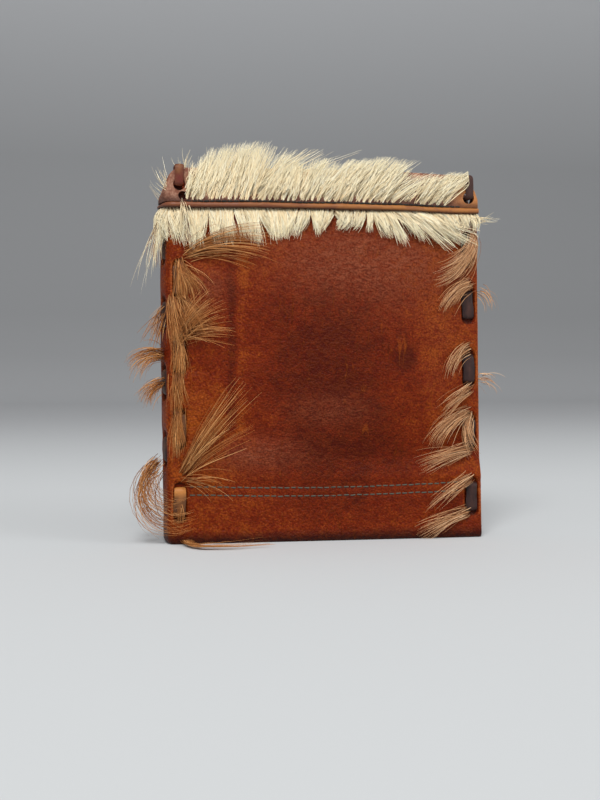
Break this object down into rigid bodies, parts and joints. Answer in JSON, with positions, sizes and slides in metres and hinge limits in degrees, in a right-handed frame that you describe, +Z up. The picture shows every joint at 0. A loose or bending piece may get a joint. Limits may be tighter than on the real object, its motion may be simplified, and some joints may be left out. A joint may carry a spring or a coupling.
{
  "type": "laced leather bifold wallet",
  "caption": "Upright bifold wallet of laced leather with a fur-trimmed top, which opens flat at the two creases of its spine.",
  "frame": {"origin": "on the ground under the middle of the closed wallet, fringe and spine included", "axes": "+Z up the standing wallet, -Y out of its front cover, -X out of its spine"},
  "size_m": [0.105, 0.0316, 0.1258],
  "materials": {
    "cover_leather": "mottled orange-brown, worn satin grain",
    "inner_leather": "plain brown, matt",
    "golden_lace": "golden brown, hairy",
    "dark_lace": "dark purple-brown, satin",
    "hide_band": "pinkish brown hide, matt",
    "piping_leather": "orange tan, satin",
    "cream_fur": "cream fur, matt"
  },
  "bodies": {
    "back_half": {"back_cover": "cover_leather", "back_note_panel": "inner_leather", "back_card_pocket_1": "inner_leather", "back_card_pocket_2": "inner_leather", "back_lace_free_edge": "dark_lace", "back_lace_spine_side": "golden_lace", "back_fur_band": "hide_band", "back_piping": "piping_leather", "back_fur_fringe": "cream_fur", "back_fur_top": "cream_fur"},
    "spine": {"spine_cover": "cover_leather", "spine_lace_front": "golden_lace", "spine_lace_back": "golden_lace", "spine_fur_band": "hide_band", "spine_piping": "piping_leather", "spine_fur_fringe": "cream_fur"},
    "front_half": {"front_cover": "cover_leather", "front_note_panel": "inner_leather", "front_card_pocket_1": "inner_leather", "front_card_pocket_2": "inner_leather", "front_lace_free_edge": "dark_lace", "front_lace_spine_side": "golden_lace", "front_fur_band": "hide_band", "front_piping": "piping_leather", "front_fur_fringe": "cream_fur", "front_fur_top": "cream_fur"}
  },
  "joints": [
    {"name": "back_crease", "type": "hinge", "parent": "back_half", "child": "spine", "pos_m": [-0.0469, 0.0077, 0.05775], "axis": [0, 0, -1], "range_deg": [0, 90]},
    {"name": "front_crease", "type": "hinge", "parent": "spine", "child": "front_half", "pos_m": [-0.0469, -0.0077, 0.05775], "axis": [0, 0, -1], "range_deg": [0, 90]}
  ]
}
